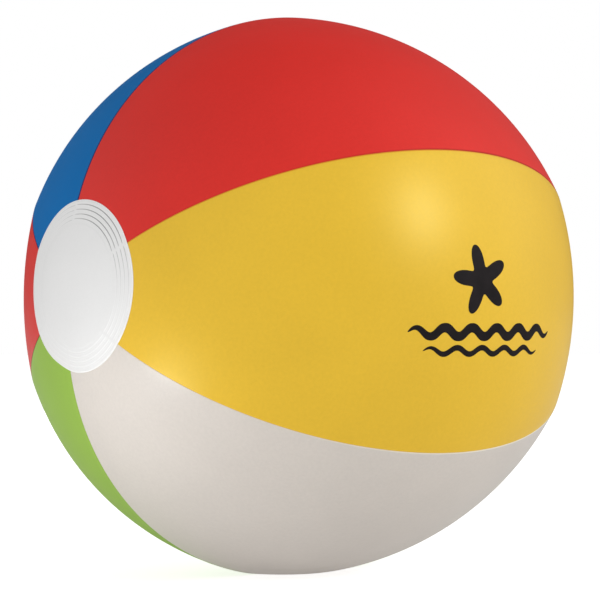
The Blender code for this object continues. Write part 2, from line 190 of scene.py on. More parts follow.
# ---------------------------------------------------------------- gores
def gore(name, k, painted_seam_sides=(False, False)):
    """One gore: outer face, rolled edges, weld flanges turned inwards, inner face, all one closed film."""
    mid, half = span(k)
    t0 = float(theta_at(TIP))
    t = t0 + (pi - 2 * t0) * (np.arange(151) / 150.0)
    n_t = len(t)
    x, rho = meridian(t)
    s_along = np.concatenate([[0], np.cumsum(np.hypot(np.diff(x), np.diff(rho)))])
    edge = half - (ROLL + SEAM_HALF_GAP) / rho
    fine = np.sin(np.linspace(-pi / 2, pi / 2, 53))
    fr = 0.55 * fine + 0.45 * np.linspace(-1, 1, 53)
    T = t[:, None]
    rel = edge[:, None] * fr[None, :]
    P, N, U = shell_frame(T, k, rel)
    width = rho[:, None]
    d0 = (rel + edge[:, None]) * width
    d1 = (edge[:, None] - rel) * width
    lift = ripple(s_along[:, None], d0, k + 0.5) + ripple(s_along[:, None], d1, k + 3.7)
    outer = P + N * lift[..., None]
    inner = P - N * FILM

    def edge_loop(side):
        """From the outer face round the roll, down the flange, back up it, to the inner face."""
        i = -1 if side > 0 else 0
        p, n, u = outer[:, i], N[:, i], side * U[:, i]
        nx, nr = meridian_normal(t)
        seam = mid + side * half
        inward = -np.stack([nx, nr * cos(seam), nr * sin(seam)], -1)
        stop = np.arccos(np.clip((u * inward).sum(-1), -1, 1))    # the roll ends facing down the seam
        rows = []
        c = p - ROLL * n
        for b in (0.18, 0.36, 0.54, 0.72, 0.88, 1.0):
            a = (stop * b)[:, None]
            rows.append(c + ROLL * (n * np.cos(a) + u * np.sin(a)))
        last = rows[-1]
        a = stop[:, None]
        down = -n * np.sin(a) + u * np.cos(a)
        out = n * np.cos(a) + u * np.sin(a)
        for f in (0.12, 0.4, 1.0):
            rows.append(last + down * FIN * f)
        for f in (1.0, 0.4, 0.12):
            rows.append(last + down * FIN * f - out * FILM)
        r_in = ROLL - FILM
        for b in (1.0, 0.72, 0.45, 0.2):
            a = (stop * b)[:, None]
            rows.append(c + r_in * (n * np.cos(a) + u * np.sin(a)))
        return np.stack(rows, 1)

    right, left = edge_loop(1.0), edge_loop(-1.0)
    loop = np.concatenate([outer, right, inner[:, ::-1], left[:, ::-1]], 1)
    n_o, n_e = outer.shape[1], right.shape[1]
    dist = np.concatenate([np.minimum(d0, d1), np.zeros_like(right[..., 0]),
                           np.minimum(d0, d1)[:, ::-1], np.zeros_like(left[..., 0])], 1)
    along = np.broadcast_to(s_along[:, None], dist.shape)
    # which sides carry the painted seam line: painted shade along the seam valley, on the white a painted highlight
    painted_seam_outer = np.minimum(d0 if painted_seam_sides[0] else d0 + 1.0, d1 if painted_seam_sides[1] else d1 + 1.0)
    painted_seam_line = np.concatenate([painted_seam_outer, np.full_like(right[..., 0], 0.0 if painted_seam_sides[1] else 1.0),
                          np.full_like(painted_seam_outer, 1.0), np.full_like(left[..., 0], 0.0 if painted_seam_sides[0] else 1.0)], 1)
    flat = loop.copy()
    soft_floor(flat[:, :n_o], FLOOR)
    soft_floor(flat[:, n_o:], FLOOR + FILM)
    roll_part = [n_o + i for i in range(6)] + [loop.shape[1] - 1 - i for i in range(6)]
    keep = loop[:, roll_part].copy()
    soft_floor(keep, FLOOR)
    flat[:, roll_part] = keep
    verts = (flat + CENTRE).reshape(-1, 3)
    m = loop.shape[1]
    faces = grid_faces(n_t, m, closed_cols=True)
    # end caps: join each outer point to the inner point under it
    outer_i = list(range(n_o))
    inner_i = [n_o + n_e + (n_o - 1 - i) for i in range(n_o)]
    for base in (0, (n_t - 1) * m):
        for i in range(n_o - 1):
            faces.append((base + outer_i[i], base + outer_i[i + 1], base + inner_i[i + 1], base + inner_i[i]))
        for start, count, a0, a1 in ((n_o, n_e, outer_i[-1], inner_i[-1]),
                                     (n_o + n_e + n_o, n_e, inner_i[0], outer_i[0])):
            chain = [a0] + [start + i for i in range(count)] + [a1]
            lo, hi = 0, len(chain) - 1
            while hi - lo > 2:
                faces.append((base + chain[lo], base + chain[lo + 1], base + chain[hi - 1], base + chain[hi]))
                lo, hi = lo + 1, hi - 1
            if hi - lo == 2:
                faces.append((base + chain[lo], base + chain[lo + 1], base + chain[hi]))
    ob = mesh_object(name, verts, faces, 50.0,
                     {"seam_dist": dist.reshape(-1), "painted_seam_dist": painted_seam_line.reshape(-1), "along": along.reshape(-1)})
    return orient(ob)


# ---------------------------------------------------------------- end discs
def disc_outline(a, plain):
    """Radius of the disc by angle: die-cut round, pulled a little out of round where it is welded."""
    if not plain:
        return DISC_R * (1 + 0.010 * np.cos(2 * (a - 0.6)) + 0.006 * np.cos(3 * a + 1.0))
    flat = np.exp(-(((a - radians(293) + pi) % (2 * pi) - pi) / radians(15)) ** 2)
    return DISC_R * (1.004 + 0.014 * np.cos(a) + 0.026 * np.cos(2 * a) - 0.020 * flat)


def cap_surface(y, z):
    """Point and outward direction of the gores at (y, z) near a pole, for the -X side."""
    r, phi = np.hypot(y, z), np.arctan2(z, y)
    gain = np.ones_like(r)
    near = np.full_like(r, 9.0)
    for k in range(6):
        mid, half = span(k)
        rel = (phi - mid + pi) % (2 * pi) - pi
        inside = np.abs(rel) <= half + 1e-9
        gain = np.where(inside, bulge(half, np.clip(rel, -half, half)), gain)
        seam = (phi - (mid - half) + pi) % (2 * pi) - pi
        near = np.where(np.abs(seam) < np.abs(near), seam, near)
    t = theta_at(r / gain)
    x, _ = meridian(t)
    nx, nr = meridian_normal(t)
    n = np.stack([nx, nr * np.cos(phi), nr * np.sin(phi)], -1)
    return np.stack([x, y, z], -1), n, near * r, r


def end_disc(name, sign, centre, flat, hole):
    plain = hole is None
    seg = 432
    a = 2 * pi * np.arange(seg) / seg
    R = disc_outline(a, plain)
    band = np.linspace(0.700, 0.955, 90)
    rim = np.array([0.962, 0.969, 0.976, 0.982, 0.987, 0.991, 0.995, 0.998, 1.0])
    start = 0.004 if plain else hole / DISC_R
    mid = np.linspace(start, 0.695, 25)
    f = np.concatenate([mid, band, rim])
    rr = f[:, None] * R[None, :]
    if not plain:
        w = np.clip((f - start) / (0.7 - start), 0, 1)[:, None]
        rr = (f[:, None] * DISC_R) * (1 - w) + rr * w
    y = centre[0] + rr * np.cos(a)
    z = centre[1] + rr * np.sin(a)
    P, N, s_dist, axis_r = cap_surface(y, z)
    F = np.broadcast_to(f[:, None], rr.shape)
    A = np.broadcast_to(a[None, :], rr.shape)

    # the layer under the weld: a low ridge where each seam passes beneath
    over = np.clip((axis_r - TIP) / 0.003, 0, 1)
    ridge = np.exp(-(s_dist / 0.00075) ** 2) * over
    side = np.tanh(s_dist / 0.0006)
    weld = np.clip((F - 0.712) / 0.016, 0, 1)
    weld = weld * weld * (3 - 2 * weld)
    h = 0.00003 * np.sin(3 * A + 0.4) * (1 - weld) * F
    h = h - 0.00008 * weld
    h = h + 0.00006 * ridge * weld

    def around(deg, width):
        return np.exp(-(((A - radians(deg) + pi) % (2 * pi) - pi) / radians(width)) ** 2)

    strength = 0.30 + 0.80 * around(124, 42) + 0.30 * around(222, 24) + 0.22 * around(266, 24)
    broken = 1 - 0.92 * np.exp(-(s_dist / 0.0009) ** 2)
    cut, painted_gleam = np.zeros_like(F), np.zeros_like(F)
    for i, g in enumerate((0.776, 0.830, 0.886, 0.942)):
        shift = 0.0040 * side * np.exp(-(s_dist / 0.0035) ** 2) * (1 if i % 2 == 0 else 0.5)
        wob = 0.0010 * np.sin(2 * A + i)
        q = (F - g - shift - wob) * DISC_R
        groove_and_painted_shade = np.exp(-(q / 0.00023) ** 2)
        lip = np.exp(-((q + 0.00042) / 0.00022) ** 2) + 0.5 * np.exp(-((q - 0.00042) / 0.00022) ** 2)
        h = h + (-0.00012 * groove_and_painted_shade + 0.000035 * lip) * strength * broken
        # painted shade: the groove lines are also darkened in colour, strongest around 124 degrees where they fall
        # in shade
        cut = np.maximum(cut, groove_and_painted_shade * broken * np.clip(0.10 + 0.90 * around(124, 44), 0, 1))
        # painted highlight: the lips beside the grooves are lightened in colour, strongest around 222 degrees where
        # they catch the light
        painted_gleam = np.maximum(painted_gleam, lip * broken * (0.20 + 0.80 * around(222, 20) + 0.25 * around(268, 30)))
    # small marks where the die crosses each seam
    for g in (0.776, 0.830, 0.886, 0.942):
        q = (F - g + 0.006) * DISC_R
        h = h + 0.00007 * np.exp(-(q / 0.0004) ** 2) * np.exp(-(s_dist / 0.0005) ** 2) * over
    # the outer rim of the disc is mixed towards near-white as well
    painted_gleam = np.clip(np.maximum(painted_gleam, np.clip((F - 0.982) / 0.010, 0, 1)), 0, 1)
    bead = np.exp(-((F - 0.972) * DISC_R / 0.00035) ** 2)
    h = h + 0.00007 * bead
    drop = np.clip((F - 0.985) / 0.015, 0, 1)
    h_top = DISC_FILM + 0.00006 + h
    h_top = h_top * (1 - drop ** 2.2) + 0.00006 * drop ** 2.2
    if not plain:
        lipzone = np.clip((F * DISC_R - hole) / 0.0006, 0, 1)
        h_top = h_top * lipzone ** 0.5 + 0.00006 * (1 - lipzone ** 0.5)
    # the middle stays level: the film is tight over the open tips
    top_x = -RE * 0.95145
    level = np.clip((rr - flat) / 0.010, 0, 1)
    level = level * level * (3 - 2 * level)
    base_x = P[..., 0] * level + top_x * (1 - level)
    nx = N[..., 0] * level - (1 - level)
    nr_scale = level[..., None]
    base = np.stack([base_x, y, z], -1)
    nrm = unit(np.stack([nx, N[..., 1] * level, N[..., 2] * level], -1))
    gap = CAD_GAP * 0.15
    top = base + nrm * (gap + h_top)[..., None]
    keep = list(range(0, len(f) - len(rim) - len(band), 3)) + \
        list(range(len(mid), len(mid) + len(band), 8)) + [len(f) - 1]
    low = base[keep] + nrm[keep] * gap
    low[-1] = base[-1] + nrm[-1] * gap
    top = top.copy()
    top[..., 0] *= -sign if sign > 0 else 1.0
    low = low.copy()
    low[..., 0] *= -sign if sign > 0 else 1.0
    rows_t, rows_l = top.shape[0], low.shape[0]
    verts = np.concatenate([top.reshape(-1, 3), low.reshape(-1, 3)]) + CENTRE
    faces = grid_faces(rows_t, seg, closed_cols=True)
    off = rows_t * seg
    faces += grid_faces(rows_l, seg, closed_cols=True, offset=off)
    for i in range(seg):
        j = (i + 1) % seg
        faces.append(((rows_t - 1) * seg + i, (rows_t - 1) * seg + j, off + (rows_l - 1) * seg + j,
                      off + (rows_l - 1) * seg + i))
        if not plain:
            faces.append((i, j, off + j, off + i))
    extra = []
    if plain:
        c = np.array((top[0, :, 0].mean(), centre[0], centre[1])) + CENTRE
        c2 = np.array((low[0, :, 0].mean(), centre[0], centre[1])) + CENTRE
        extra = [c, c2]
        n0 = len(verts)
        for i in range(seg):
            j = (i + 1) % seg
            faces.append((n0, j, i))
            faces.append((n0 + 1, off + i, off + j))
        verts = np.concatenate([verts, np.array(extra)])
    painted_groove_shade = np.concatenate([cut.reshape(-1), np.zeros(len(verts) - cut.size)])
    painted_gleam_at = np.concatenate([painted_gleam.reshape(-1), np.zeros(len(verts) - painted_gleam.size)])
    ob = mesh_object(name, verts, faces, 55.0, {"groove_and_painted_shade": painted_groove_shade, "painted_gleam": painted_gleam_at})
    return orient(ob)


# ---------------------------------------------------------------- turned valve pieces
FACE_X = RE * 0.95145 + CAD_GAP * 0.15 + DISC_FILM + 0.00006


def cad_face():
    """The valve disc's outer face, read from the frame."""
    return float(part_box("end_disc_valve")[1][0])


def round_profile(points, radius, steps=4, closed=True):
    """Rounds the corners of an outline of (r, depth) points."""
    out = []
    n = len(points)
    for i, p in enumerate(points):
        p = np.array(p, float)
        if not closed and i in (0, n - 1) or p[0] < 1e-6:
            out.append(tuple(p))
            continue
        a = np.array(points[(i - 1) % n], float) - p
        b = np.array(points[(i + 1) % n], float) - p
        la, lb = np.linalg.norm(a), np.linalg.norm(b)
        a, b = a / la, b / lb
        ang = np.arccos(np.clip(a @ b, -1, 1))
        if ang > radians(172):
            out.append(tuple(p))
            continue
        cut = min(radius / tan(ang / 2), la * 0.45, lb * 0.45)
        rad = cut * tan(ang / 2)
        c = p + unit(a + b) * rad / sin(ang / 2)
        p0, p1 = p + a * cut, p + b * cut
        v0, v1 = p0 - c, p1 - c
        for s in range(steps + 1):
            v = v0 * (1 - s / steps) + v1 * (s / steps)
            out.append(tuple(c + unit(v) * rad))
    return out


def turned(name, profile, x_face, segments=96, sharp=60.0):
    verts, rows = [], []
    for r, d in profile:
        if r < 1e-7:
            rows.append([len(verts)] * segments)
            verts.append((x_face - d, CENTRE[1], CENTRE[2]))
            continue
        rows.append(list(range(len(verts), len(verts) + segments)))
        for i in range(segments):
            a = 2 * pi * i / segments
            verts.append((x_face - d, CENTRE[1] + r * cos(a), CENTRE[2] + r * sin(a)))
    faces = []
    closed = profile[0][0] > 1e-7
    for a, b in list(zip(rows, rows[1:])) + ([(rows[-1], rows[0])] if closed else []):
        for i in range(segments):
            j = (i + 1) % segments
            loop = []
            for v in (a[i], a[j], b[j], b[i]):
                if v not in loop:
                    loop.append(v)
            if len(loop) > 2:
                faces.append(tuple(loop))
    return orient(mesh_object(name, verts, faces, sharp))


def ribbon(line, thick):
    line = np.array(line, float)
    d = np.gradient(line, axis=0)
    d = unit(d)
    n = np.stack([-d[:, 1], d[:, 0]], -1)
    left, right = line + n * thick / 2, line - n * thick / 2
    return [tuple(v) for v in left] + [tuple(v) for v in right[::-1]]


def smooth_line(points, count):
    """Catmull-Rom curve through points."""
    p = np.array(points, float)
    p = np.vstack([2 * p[0] - p[1], p, 2 * p[-1] - p[-2]])
    out = []
    n = len(p) - 3
    for i in range(count):
        u = i / (count - 1) * n
        k = min(int(u), n - 1)
        s = u - k
        a, b, c, d = p[k:k + 4]
        out.append(0.5 * ((2 * b) + (c - a) * s + (2 * a - 5 * b + 4 * c - d) * s * s
                          + (3 * b - a - 3 * c + d) * s ** 3))
    return np.array(out)


# ---------------------------------------------------------------- materials
def principled(name):
    mat = bpy.data.materials.new(name)
    mat.use_nodes = True
    nt = mat.node_tree
    return mat, nt, nt.nodes["Principled BSDF"]


def linear(c):
    return tuple((v / 12.92 if v <= 0.04045 else ((v + 0.055) / 1.055) ** 2.4) for v in (x / 255.0 for x in c))


def node(nt, kind, **props):
    n = nt.nodes.new(kind)
    for key, value in props.items():
        setattr(n, key, value)
    return n


def mix_colour(nt, fac, a, b, blend="MIX"):
    n = node(nt, "ShaderNodeMix", data_type="RGBA", blend_type=blend)
    if isinstance(fac, float):
        n.inputs["Factor"].default_value = fac
    else:
        nt.links.new(fac, n.inputs["Factor"])
    for key, val in (("A", a), ("B", b)):
        sock = [s for s in n.inputs if s.name == key and s.type == "RGBA"][0]
        if isinstance(val, tuple):
            sock.default_value = (*val, 1.0)
        else:
            nt.links.new(val, sock)
    return [s for s in n.outputs if s.type == "RGBA"][0]


def ramp(nt, src, lo, hi, a=0.0, b=1.0):
    n = node(nt, "ShaderNodeMapRange")
    nt.links.new(src, n.inputs["Value"])
    n.inputs["From Min"].default_value = lo
    n.inputs["From Max"].default_value = hi
    n.inputs["To Min"].default_value = a
    n.inputs["To Max"].default_value = b
    return n.outputs["Result"]


def noise(nt, coord, scale, detail=2.0, rough=0.5):
    n = node(nt, "ShaderNodeTexNoise")
    nt.links.new(coord, n.inputs["Vector"])
    n.inputs["Scale"].default_value = scale
    n.inputs["Detail"].default_value = detail
    n.inputs["Roughness"].default_value = rough
    return n.outputs["Fac"]


def film(name, colour, dark, light, rough=0.40, spec=0.34, tint=(1.0, 1.0, 1.0), painted_seam_line=None, disc=False):
    """Printed vinyl film: fine calendered grain, faint cloudiness, a tighter gloss along the welds."""
    mat, nt, sh = principled(name)
    co = node(nt, "ShaderNodeTexCoord").outputs["Object"]
    cloud = noise(nt, co, 22.0, 3.0)
    grain = noise(nt, co, 1100.0, 2.0, 0.6)
    speck = noise(nt, co, 640.0, 2.0, 0.6)
    base = mix_colour(nt, ramp(nt, cloud, 0.32, 0.68), dark, light)
    base = mix_colour(nt, ramp(nt, grain, 0.30, 0.70, 0.0, 0.55), base, colour)
    speckle = 0.008 if disc else 0.026
    shade = ramp(nt, speck, 0.25, 0.75, 1 - speckle, 1 + speckle)
    hs = node(nt, "ShaderNodeHueSaturation")
    nt.links.new(base, hs.inputs["Color"])
    nt.links.new(shade, hs.inputs["Value"])
    out = hs.outputs["Color"]
    if painted_seam_line:
        # painted shade: a darker line of colour along the chosen welds, where the seam's valley falls in shade; on
        # the white film the line is lighter, a painted highlight where the crease catches light
        at = node(nt, "ShaderNodeAttribute", attribute_name="painted_seam_dist").outputs["Fac"]
        amount = ramp(nt, at, painted_seam_line[1] * 0.4, painted_seam_line[1], 1.0, 0.0)
        if painted_seam_line[2]:
            # this line only shows away from the plain disc
            far = node(nt, "ShaderNodeMath", operation="MULTIPLY")
            run = node(nt, "ShaderNodeAttribute", attribute_name="along").outputs["Fac"]
            nt.links.new(amount, far.inputs[0])
            nt.links.new(ramp(nt, run, 0.09, 0.20, 0.12, 1.0), far.inputs[1])
            amount = far.outputs[0]
        out = mix_colour(nt, amount, out, painted_seam_line[0])
    if disc:
        # painted shade: the weld grooves are mixed towards a quarter of the disc colour, most on the side where they
        # fall in shade
        cut = node(nt, "ShaderNodeAttribute", attribute_name="groove_and_painted_shade").outputs["Fac"]
        out = mix_colour(nt, ramp(nt, cut, 0.10, 1.0, 0.0, 1.0), out, tuple(v * 0.24 for v in colour))
        # painted highlight on the groove lips; the outer rim is mixed towards near-white too
        painted_gleam = node(nt, "ShaderNodeAttribute", attribute_name="painted_gleam").outputs["Fac"]
        out = mix_colour(nt, ramp(nt, painted_gleam, 0.0, 1.0, 0.0, 1.0), out, (0.97, 0.97, 0.97))
    nt.links.new(out, sh.inputs["Base Color"])
    r = ramp(nt, speck, 0.2, 0.8, rough - 0.03, rough + 0.03)
    if not disc:
        at = node(nt, "ShaderNodeAttribute", attribute_name="seam_dist").outputs["Fac"]
        weld = ramp(nt, at, 0.0016, 0.0048, -0.05, 0.0)
        add = node(nt, "ShaderNodeMath", operation="ADD")
        nt.links.new(r, add.inputs[0])
        nt.links.new(weld, add.inputs[1])
        r = add.outputs[0]
    nt.links.new(r, sh.inputs["Roughness"])
    sh.inputs["Specular IOR Level"].default_value = spec
    sh.inputs["Specular Tint"].default_value = (*tint, 1.0)
    sh.inputs["IOR"].default_value = 1.5
    b1 = node(nt, "ShaderNodeBump")
    b1.inputs["Strength"].default_value = 0.04 if disc else 0.10
    b1.inputs["Distance"].default_value = 0.00004
    nt.links.new(grain, b1.inputs["Height"])
    b2 = node(nt, "ShaderNodeBump")
    b2.inputs["Strength"].default_value = 0.03 if disc else 0.08
    b2.inputs["Distance"].default_value = 0.0002
    peel = noise(nt, co, 170.0, 1.0, 0.4)
    nt.links.new(peel, b2.inputs["Height"])
    nt.links.new(b1.outputs["Normal"], b2.inputs["Normal"])
    nt.links.new(b2.outputs["Normal"], sh.inputs["Normal"])
    return mat


def vinyl(name, colour, rough, trans=0.0):
    """Soft moulded vinyl: milky, slightly clear, with faint mould texture."""
    mat, nt, sh = principled(name)
    co = node(nt, "ShaderNodeTexCoord").outputs["Object"]
    cloud = noise(nt, co, 260.0, 3.0)
    fine = noise(nt, co, 1500.0, 1.0)
    base = mix_colour(nt, ramp(nt, cloud, 0.3, 0.7), tuple(v * 0.93 for v in colour), colour)
    nt.links.new(base, sh.inputs["Base Color"])
    nt.links.new(ramp(nt, fine, 0.25, 0.75, rough - 0.03, rough + 0.04), sh.inputs["Roughness"])
    sh.inputs["Specular IOR Level"].default_value = 0.45
    sh.inputs["Subsurface Weight"].default_value = 0.25
    sh.inputs["Subsurface Radius"].default_value = (0.0016, 0.0014, 0.0012)
    sh.inputs["Subsurface Scale"].default_value = 1.0
    if trans:
        sh.inputs["Transmission Weight"].default_value = trans
    b = node(nt, "ShaderNodeBump")
    b.inputs["Strength"].default_value = 0.05
    b.inputs["Distance"].default_value = 0.00003
    nt.links.new(fine, b.inputs["Height"])
    nt.links.new(b.outputs["Normal"], sh.inputs["Normal"])
    return mat


def tinted(c, dark=0.965, light=1.03):
    return tuple(v * dark for v in c), tuple(min(v * light, 1.0) for v in c)


COLOURS = {
    "yellow": (0.820, 0.513, 0.038),
    "white": (0.708, 0.655, 0.606),
    "green": (0.305, 0.512, 0.060),
    "red": (0.738, 0.029, 0.022),
    "blue": (0.001, 0.148, 0.440),
    "disc": (0.835, 0.835, 0.836),
}

GORES = (("skin_yellow", "panel_yellow", "yellow"), ("skin_white", "panel_white", "white"),
         ("skin_green", "panel_green", "green"), ("skin_red_rear", "panel_red_rear", "red"),
         ("skin_blue", "panel_blue", "blue"), ("skin_red_upper", "panel_red_upper", "red"))


def place(ob, body, mat, *nodes):
    ob.data.materials.clear()
    ob.data.materials.append(mat)
    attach(ob, body)
    if nodes:
        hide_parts(*nodes)
    return ob


FINISH = {      # roughness, specular level, specular tint, and the painted seam line: its colour, its width, and whether it fades near the plain disc; the darker lines are painted shade in the seam valleys, the white film's light line is a painted highlight
    "yellow": (0.37, 0.50, (1.0, 0.95, 0.42), ((0.700, 0.300, 0.018), 0.00045, False)),
    "white": (0.38, 0.50, (1.0, 1.0, 1.0), ((0.90, 0.84, 0.70), 0.00050, True)),
    "green": (0.46, 0.24, (0.95, 1.0, 0.8), ((0.095, 0.110, 0.030), 0.00060, False)),
    "red": (0.42, 0.22, (1.0, 0.80, 0.80), ((0.480, 0.015, 0.011), 0.00055, True)),
    "blue": (0.50, 0.06, (0.7, 0.85, 1.0), ((0.004, 0.022, 0.110), 0.00065, False)),
}
# which sides of each gore get the painted seam line (painted shade or, on the white, a painted highlight)
PAINTED_SEAM_SIDES = {"skin_blue": (True, True), "skin_green": (False, True), "skin_white": (True, False),
        "skin_red_upper": (False, True), "skin_yellow": (True, False)}


def build_gores():
    films = {}
    for key, (rough, spec, tint, painted_seam_line) in FINISH.items():
        d, l = tinted(COLOURS[key])
        films[key] = film("film_" + key, COLOURS[key], d, l, rough, spec, tint, painted_seam_line)
    for k, (name, cad, key) in enumerate(GORES):
        place(gore(name, k, PAINTED_SEAM_SIDES.get(name, (False, False))), "ball", films[key], cad)


def build_discs():
    d, l = tinted(COLOURS["disc"], 0.985, 1.01)
    mat = film("film_disc", COLOURS["disc"], d, l, 0.38, 0.36, disc=True)
    place(end_disc("disc_plain", -1.0, PLAIN_AT, 0.009, None), "ball", mat, "end_disc_plain")
    place(end_disc("disc_valve", 1.0, (0.0, 0.0), 0.0165, 0.0095), "ball", mat, "end_disc_valve")


def build_valve():
    face = cad_face()
    soft = vinyl("vinyl_soft", linear((228, 229, 227)), 0.30)
    plug_mat = vinyl("vinyl_plug_soft", linear((232, 233, 231)), 0.27)
    thin = vinyl("vinyl_thin", linear((224, 225, 224)), 0.32, 0.12)

    flange = round_profile([(0.0093, 0.00065), (0.0160, 0.00065), (0.0160, 0.00145), (0.0093, 0.00145)], 0.00025)
    place(turned("valve_ring", flange, face, 128), "ball", soft, "valve_flange")

    line = smooth_line([(0.0102, 0.0020), (0.0095, 0.00215), (0.0089, 0.0030), (0.0085, 0.0062), (0.0081, 0.0102),
                        (0.0077, 0.0131), (0.0070, 0.0144), (0.0059, 0.01475)], 46)
    sleeve = turned("valve_root", ribbon(line, 0.00045), face, 112, 70)
    sleeve.data.materials.clear()
    sleeve.data.materials.append(thin)
    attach(sleeve, "ball")
    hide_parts("valve_root_sleeve")
    sleeve.parent = None
    sleeve.matrix_world = Matrix.Identity(4)
    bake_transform(sleeve)

    stem = round_profile([(0.00325, 0.0012), (0.0060, 0.0012), (0.0060, 0.0027), (0.0050, 0.0031), (0.0050, 0.0147),
                          (0.0056, 0.0153), (0.0070, 0.0153), (0.0070, 0.0165), (0.00325, 0.0165)], 0.0003)
    place(turned("valve_tube", stem, face, 96), "valve_stem", soft, "valve_stem")

    plug = round_profile([(0.0, -0.00045), (0.0044, -0.00045), (0.0047, -0.0007), (0.0060, -0.0007),
                          (0.0060, 0.0009), (0.00295, 0.0009), (0.00290, 0.0016), (0.00285, 0.0026),
                          (0.00265, 0.0036), (0.00235, 0.0046), (0.0019, 0.0055), (0.0, 0.0057)], 0.00022,
                         closed=False)
    body = turned("plug_body", plug, face, 96)
    tab = thumb_tab(face)
    join_union(body, tab)
    body.name = "valve_cap"
    place(body, "valve_plug", plug_mat, "valve_plug")

    place(strap_mesh(face), "valve_plug", thin, "valve_strap")

    flap = round_profile([(0.0, 0.0168), (0.0046, 0.0168), (0.0046, 0.0171), (0.0, 0.0171)], 0.0001, 3, closed=False)
    place(turned("flap_film", flap, face, 64), "check_flap", thin, "check_flap")


def thumb_tab(face):
    outline = smooth_line([(-0.0019, -0.0048), (-0.0020, -0.0066), (-0.0015, -0.0079), (0.0, -0.0085),
                           (0.0015, -0.0079), (0.0020, -0.0066), (0.0019, -0.0048)], 40)
    verts, n = [], len(outline)
    levels = ((-0.0007 + 0.0010, 0.94), (0.00012, 1.0), (-0.00035, 1.0), (-0.0005, 0.94))
    cy, cz = 0.0, -0.0060
    for depth, s in levels:
        verts += [(face - depth, CENTRE[1] + cy + (y - cy) * s, CENTRE[2] + cz + (z - cz) * s) for y, z in outline]
    faces = grid_faces(len(levels), n, closed_cols=True)
    faces.append(tuple(range(n)))
    faces.append(tuple(range((len(levels) - 1) * n, len(levels) * n)))
    return orient(mesh_object("tab_form", verts, faces, 50))


def join_union(a, b):
    mod = a.modifiers.new("join", "BOOLEAN")
    mod.operation, mod.solver, mod.object = "UNION", "EXACT", b
    dg = bpy.context.evaluated_depsgraph_get()
    me = bpy.data.meshes.new_from_object(a.evaluated_get(dg))
    a.modifiers.clear()
    a.data = me
    me.shade_smooth()
    me.set_sharp_from_angle(angle=radians(50))
    bpy.data.objects.remove(b, do_unlink=True)


def strap_mesh(face):
    line = smooth_line([(0.00630, 0.00205), (0.00700, 0.00205), (0.00765, 0.00198), (0.00815, 0.00168),
                        (0.00842, 0.00126), (0.00845, 0.00080), (0.00825, 0.00038), (0.00780, 0.00006),
                        (0.00715, -0.00005), (0.00630, -0.00005)], 44)
    line = np.array(line)
    d = unit(np.gradient(line, axis=0))
    n = np.stack([-d[:, 1], d[:, 0]], -1)
    half, t = 0.0020, 0.00033
    section = []
    for s, q in ((-1, -1), (1, -1), (1, 1), (-1, 1)):
        for a in np.linspace(0, pi / 2, 4):
            base = {(-1, -1): pi, (1, -1): -pi / 2, (1, 1): 0.0, (-1, 1): pi / 2}[(s, q)]
            r = 0.00022
            section.append((s * (half - r) + r * cos(base + a), q * (t - r) + r * sin(base + a)))
    verts = []
    for p, m in zip(line, n):
        for w, h in section:
            r, depth = p + m * h
            verts.append((face - depth, CENTRE[1] + w, CENTRE[2] + r))
    k = len(section)
    faces = grid_faces(len(line), k, closed_cols=True)
    faces.append(tuple(range(k)))
    faces.append(tuple(range((len(line) - 1) * k, len(line) * k)))
    return orient(mesh_object("valve_tether", verts, faces, 50))


# ---------------------------------------------------------------- print on the yellow gore
def wrap(points, lift):
    """Flat (u, v) points in metres, u along the gore and v up across it, laid on the yellow gore."""
    mid, half = span(0)
    ts = np.linspace(0.35, pi - 0.35, 1200)
    m = shell(ts, 0, 0.0)
    s = np.concatenate([[0], np.cumsum(np.linalg.norm(np.diff(m, axis=0), axis=1))])
    s -= np.interp(pi / 2, ts, s)
    t = np.interp(points[:, 0], s, ts)
    _, rho = meridian(t)
    rel = -points[:, 1] / (rho * bulge(half, 0.0) * 1.0)
    p, n, _ = shell_frame(t, 0, rel)
    return p + n * lift + CENTRE


def stamp(name, outline, mat, step=0.0012):
    """A printed shape: a thin layer of ink from a closed flat outline, following the film."""
    pts = np.array(outline, float)
    lo, hi = pts.min(0), pts.max(0)
    gu, gv = np.meshgrid(np.arange(lo[0], hi[0], step), np.arange(lo[1], hi[1], step), indexing="ij")
    inner = np.stack([gu.ravel(), gv.ravel()], -1)
    gap = np.min(np.hypot(inner[:, None, 0] - pts[None, :, 0], inner[:, None, 1] - pts[None, :, 1]), 1)
    inner = inner[gap > step * 0.35]
    scale = 1000.0
    every = [Vector((float(p[0]) * scale, float(p[1]) * scale)) for p in np.vstack([pts, inner])]
    loop = list(range(len(pts)))
    vs, _, tris, _, _, _ = delaunay_2d_cdt(every, [], [loop], 1, 1e-6)
    flat = np.array([(v.x, v.y) for v in vs]) / scale
    used = sorted({i for t in tris for i in t})
    slot = {old: new for new, old in enumerate(used)}
    flat = flat[used]
    tris = [tuple(slot[i] for i in t) for t in tris]
    count = {}
    for t in tris:
        for i in range(3):
            e = (t[i], t[(i + 1) % 3])
            count[tuple(sorted(e))] = count.get(tuple(sorted(e)), []) + [e]
    rim = [v[0] for v in count.values() if len(v) == 1]
    n = len(flat)
    verts = np.concatenate([wrap(flat, 0.000045), wrap(flat, 0.000025)])
    faces = tris + [tuple(i + n for i in reversed(f)) for f in tris] + [(b, a, a + n, b + n) for a, b in rim]
    ob = orient(mesh_object(name, verts, faces, 40))
    place(ob, "ball", mat)
    return ob


